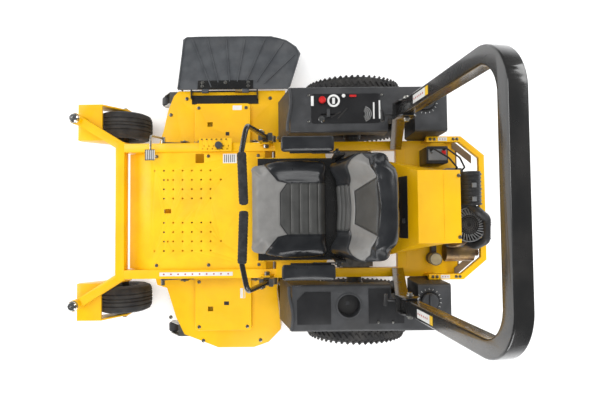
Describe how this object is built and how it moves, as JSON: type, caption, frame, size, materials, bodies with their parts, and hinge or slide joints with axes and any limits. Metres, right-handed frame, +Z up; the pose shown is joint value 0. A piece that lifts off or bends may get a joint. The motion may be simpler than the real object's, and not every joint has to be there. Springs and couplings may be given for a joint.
{
  "type": "zero turn mower",
  "caption": "Ride-on zero turn mower with a side-discharge deck, twin control levers, high-back seat, folding roll bar, front casters and rear engine.",
  "frame": {"origin": "on the ground under the middle of the whole machine", "axes": "+Z up, -Y is the front (casters), +Y the rear (engine), +X the driver's left, -X the discharge side"},
  "size_m": [1.975, 2.3434, 1.8332],
  "materials": {
    "yellow_paint": "satin powder coat",
    "brown_steel": "satin",
    "tyre_rubber": "matte",
    "black_rim": "satin",
    "dark_casting": "rough",
    "zinc_steel": "zinc plated",
    "lever_black": "foam grip on coated tube",
    "black_powder_coat": "gloss",
    "seat_vinyl": "satin vinyl over foam",
    "pod_plastic": "grained",
    "control_plastic": "gloss",
    "red_plastic": "gloss",
    "key_metal": "polished",
    "chute_plastic": "moulded, ribbed",
    "roller_plastic": "matte",
    "belt_rubber": "matte",
    "engine_metal": "cast, painted dark",
    "engine_plastic": "matte",
    "exhaust_metal": "heat tinted",
    "cable_jacket": "matte"
  },
  "bodies": {
    "root": {"main_frame": "yellow_paint", "front_frame": "yellow_paint", "floor_pan": "yellow_paint", "rear_guard": "yellow_paint", "rear_bumper": "brown_steel", "hydro_units": "dark_casting", "fender_right": "pod_plastic", "fender_left": "pod_plastic", "fender_panels": "pod_plastic", "fuel_tanks": "pod_plastic", "rops_bases": "black_powder_coat", "height_selector": "zinc_steel", "engine_block": "engine_metal", "blower_housing": "engine_plastic", "air_filter": "engine_plastic", "intake_hose": "engine_plastic", "muffler": "exhaust_metal", "battery": "engine_plastic", "battery_cables": "cable_jacket", "engine_cover": "yellow_paint"},
    "caster_right": {"caster_fork_right": "yellow_paint"},
    "caster_wheel_right": {"caster_tyre_right": "tyre_rubber", "caster_rim_right": "black_rim"},
    "drive_wheel_right": {"drive_tyre_right": "tyre_rubber", "drive_rim_right": "black_rim"},
    "lever_base_right": {"lever_pivot_right": "zinc_steel"},
    "lever_right": {"control_lever_right": "lever_black"},
    "caster_left": {"caster_fork_left": "yellow_paint"},
    "caster_wheel_left": {"caster_tyre_left": "tyre_rubber", "caster_rim_left": "black_rim"},
    "drive_wheel_left": {"drive_tyre_left": "tyre_rubber", "drive_rim_left": "black_rim"},
    "lever_base_left": {"lever_pivot_left": "zinc_steel"},
    "lever_left": {"control_lever_left": "lever_black"},
    "seat": {"seat_platform": "black_powder_coat", "seat_cushion": "seat_vinyl", "seat_back": "seat_vinyl"},
    "armrest_right": {"armrest_right": "seat_vinyl"},
    "armrest_left": {"armrest_left": "seat_vinyl"},
    "deck": {"deck_shell": "yellow_paint", "belt_covers": "yellow_paint", "deck_hardware": "zinc_steel", "deck_belt": "belt_rubber", "chute_bracket": "zinc_steel"},
    "chute": {"discharge_chute": "chute_plastic"},
    "spindle_right": {"spindle_right": "dark_casting"},
    "spindle_centre": {"spindle_centre": "dark_casting"},
    "spindle_left": {"spindle_left": "dark_casting"},
    "pto_clutch": {"pto_clutch": "dark_casting"},
    "gauge_roller_right": {"gauge_roller_right": "roller_plastic"},
    "gauge_roller_left": {"gauge_roller_left": "roller_plastic"},
    "lift_pedal": {"lift_pedal": "zinc_steel"},
    "rear_lift_shaft": {"rear_lift_shaft": "zinc_steel"},
    "height_pin": {"height_pin": "control_plastic"},
    "rops_hoop": {"rops_hoop": "black_powder_coat"},
    "pto_knob": {"pto_knob": "red_plastic"},
    "throttle_lever": {"throttle_lever": "control_plastic"},
    "ignition_key": {"ignition_key": "key_metal"},
    "fuel_cap_right": {"fuel_cap_right": "pod_plastic"},
    "fuel_cap_left": {"fuel_cap_left": "pod_plastic"}
  },
  "joints": [
    {"name": "caster_swivel_right", "type": "hinge", "parent": "root", "child": "caster_right", "pos_m": [-0.3845, -1.13675, 0.42], "axis": [0, 0, 1], "continuous": true},
    {"name": "caster_roll_right", "type": "hinge", "parent": "caster_right", "child": "caster_wheel_right", "pos_m": [-0.3845, -0.95675, 0.165], "axis": [1, 0, 0], "continuous": true},
    {"name": "drive_roll_right", "type": "hinge", "parent": "root", "child": "drive_wheel_right", "pos_m": [-0.3495, 0.47325, 0.305], "axis": [1, 0, 0], "continuous": true},
    {"name": "lever_drive_right", "type": "hinge", "parent": "root", "child": "lever_base_right", "pos_m": [-0.2295, -0.03675, 0.48], "axis": [1, 0, 0], "range_deg": [-10, 15]},
    {"name": "lever_swing_right", "type": "hinge", "parent": "lever_base_right", "child": "lever_right", "pos_m": [-0.2515, -0.03675, 0.54], "axis": [0, -1, 0], "range_deg": [0, 40]},
    {"name": "caster_swivel_left", "type": "hinge", "parent": "root", "child": "caster_left", "pos_m": [0.6855, -1.13675, 0.42], "axis": [0, 0, 1], "continuous": true},
    {"name": "caster_roll_left", "type": "hinge", "parent": "caster_left", "child": "caster_wheel_left", "pos_m": [0.6855, -0.95675, 0.165], "axis": [1, 0, 0], "continuous": true},
    {"name": "drive_roll_left", "type": "hinge", "parent": "root", "child": "drive_wheel_left", "pos_m": [0.6505, 0.47325, 0.305], "axis": [1, 0, 0], "continuous": true},
    {"name": "lever_drive_left", "type": "hinge", "parent": "root", "child": "lever_base_left", "pos_m": [0.5305, -0.03675, 0.48], "axis": [1, 0, 0], "range_deg": [-10, 15]},
    {"name": "lever_swing_left", "type": "hinge", "parent": "lever_base_left", "child": "lever_left", "pos_m": [0.5525, -0.03675, 0.54], "axis": [0, 1, 0], "range_deg": [0, 40]},
    {"name": "seat_tip", "type": "hinge", "parent": "root", "child": "seat", "pos_m": [0.1505, -0.06675, 0.53], "axis": [1, 0, 0], "range_deg": [0, 30]},
    {"name": "armrest_lift_right", "type": "hinge", "parent": "seat", "child": "armrest_right", "pos_m": [-0.1295, 0.33825, 0.842], "axis": [-1, 0, 0], "range_deg": [0, 90]},
    {"name": "armrest_lift_left", "type": "hinge", "parent": "seat", "child": "armrest_left", "pos_m": [0.4305, 0.33825, 0.842], "axis": [-1, 0, 0], "range_deg": [0, 90]},
    {"name": "deck_lift", "type": "slide", "parent": "root", "child": "deck", "axis": [0, 0, 1], "range_m": [0, 0.08]},
    {"name": "chute_lift", "type": "hinge", "parent": "deck", "child": "chute", "pos_m": [-0.5865, -0.30675, 0.27], "axis": [0, 1, 0], "range_deg": [0, 90]},
    {"name": "spindle_spin_right", "type": "hinge", "parent": "deck", "child": "spindle_right", "pos_m": [-0.3055, -0.28675, 0.2], "axis": [0, 0, 1], "continuous": true},
    {"name": "spindle_spin_centre", "type": "hinge", "parent": "deck", "child": "spindle_centre", "pos_m": [0.1945, -0.48675, 0.2], "axis": [0, 0, 1], "continuous": true},
    {"name": "spindle_spin_left", "type": "hinge", "parent": "deck", "child": "spindle_left", "pos_m": [0.6945, -0.28675, 0.2], "axis": [0, 0, 1], "continuous": true},
    {"name": "pto_spin", "type": "hinge", "parent": "root", "child": "pto_clutch", "pos_m": [0.1505, 0.93825, 0.4], "axis": [0, 0, 1], "continuous": true},
    {"name": "gauge_roll_right", "type": "hinge", "parent": "deck", "child": "gauge_roller_right", "pos_m": [-0.5655, -0.70675, 0.105], "axis": [1, 0, 0], "continuous": true},
    {"name": "gauge_roll_left", "type": "hinge", "parent": "deck", "child": "gauge_roller_left", "pos_m": [0.8875, -0.66175, 0.105], "axis": [1, 0, 0], "continuous": true},
    {"name": "lift_pedal_turn", "type": "hinge", "parent": "root", "child": "lift_pedal", "pos_m": [0.1505, -0.64675, 0.405], "axis": [1, 0, 0], "range_deg": [0, 38.3]},
    {"name": "rear_lift_turn", "type": "hinge", "parent": "root", "child": "rear_lift_shaft", "pos_m": [0.1505, 0.00325, 0.405], "axis": [-1, 0, 0], "range_deg": [0, 38.3]},
    {"name": "height_pin_lift", "type": "slide", "parent": "root", "child": "height_pin", "axis": [0, 0, 1], "range_m": [0, 0.03]},
    {"name": "rops_fold", "type": "hinge", "parent": "root", "child": "rops_hoop", "pos_m": [0.1505, 0.65825, 0.95], "axis": [-1, 0, 0], "range_deg": [0, 105]},
    {"name": "pto_knob_pull", "type": "slide", "parent": "root", "child": "pto_knob", "axis": [0, 0, 1], "range_m": [0, 0.012]},
    {"name": "throttle_turn", "type": "hinge", "parent": "root", "child": "throttle_lever", "pos_m": [-0.3375, 0.30325, 0.69], "axis": [1, 0, 0], "range_deg": [-35, 18]},
    {"name": "key_turn", "type": "hinge", "parent": "root", "child": "ignition_key", "pos_m": [-0.3125, 0.26925, 0.73], "axis": [0, 0, -1], "range_deg": [0, 90]},
    {"name": "fuel_cap_turn_right", "type": "hinge", "parent": "root", "child": "fuel_cap_right", "pos_m": [-0.3995, 0.81125, 0.73], "axis": [0, 0, 1], "range_deg": [0, 90]},
    {"name": "fuel_cap_turn_left", "type": "hinge", "parent": "root", "child": "fuel_cap_left", "pos_m": [0.6305, 0.81125, 0.73], "axis": [0, 0, 1], "range_deg": [0, 90]}
  ],
  "couplings": [
    {"joint": "spindle_spin_right", "follows": "spindle_spin_centre", "ratio": 1},
    {"joint": "spindle_spin_left", "follows": "spindle_spin_centre", "ratio": 1},
    {"joint": "pto_spin", "follows": "spindle_spin_centre", "ratio": 1},
    {"joint": "lift_pedal_turn", "follows": "deck_lift", "rad_per_m": 8.3339},
    {"joint": "rear_lift_turn", "follows": "deck_lift", "rad_per_m": 8.3339}
  ]
}
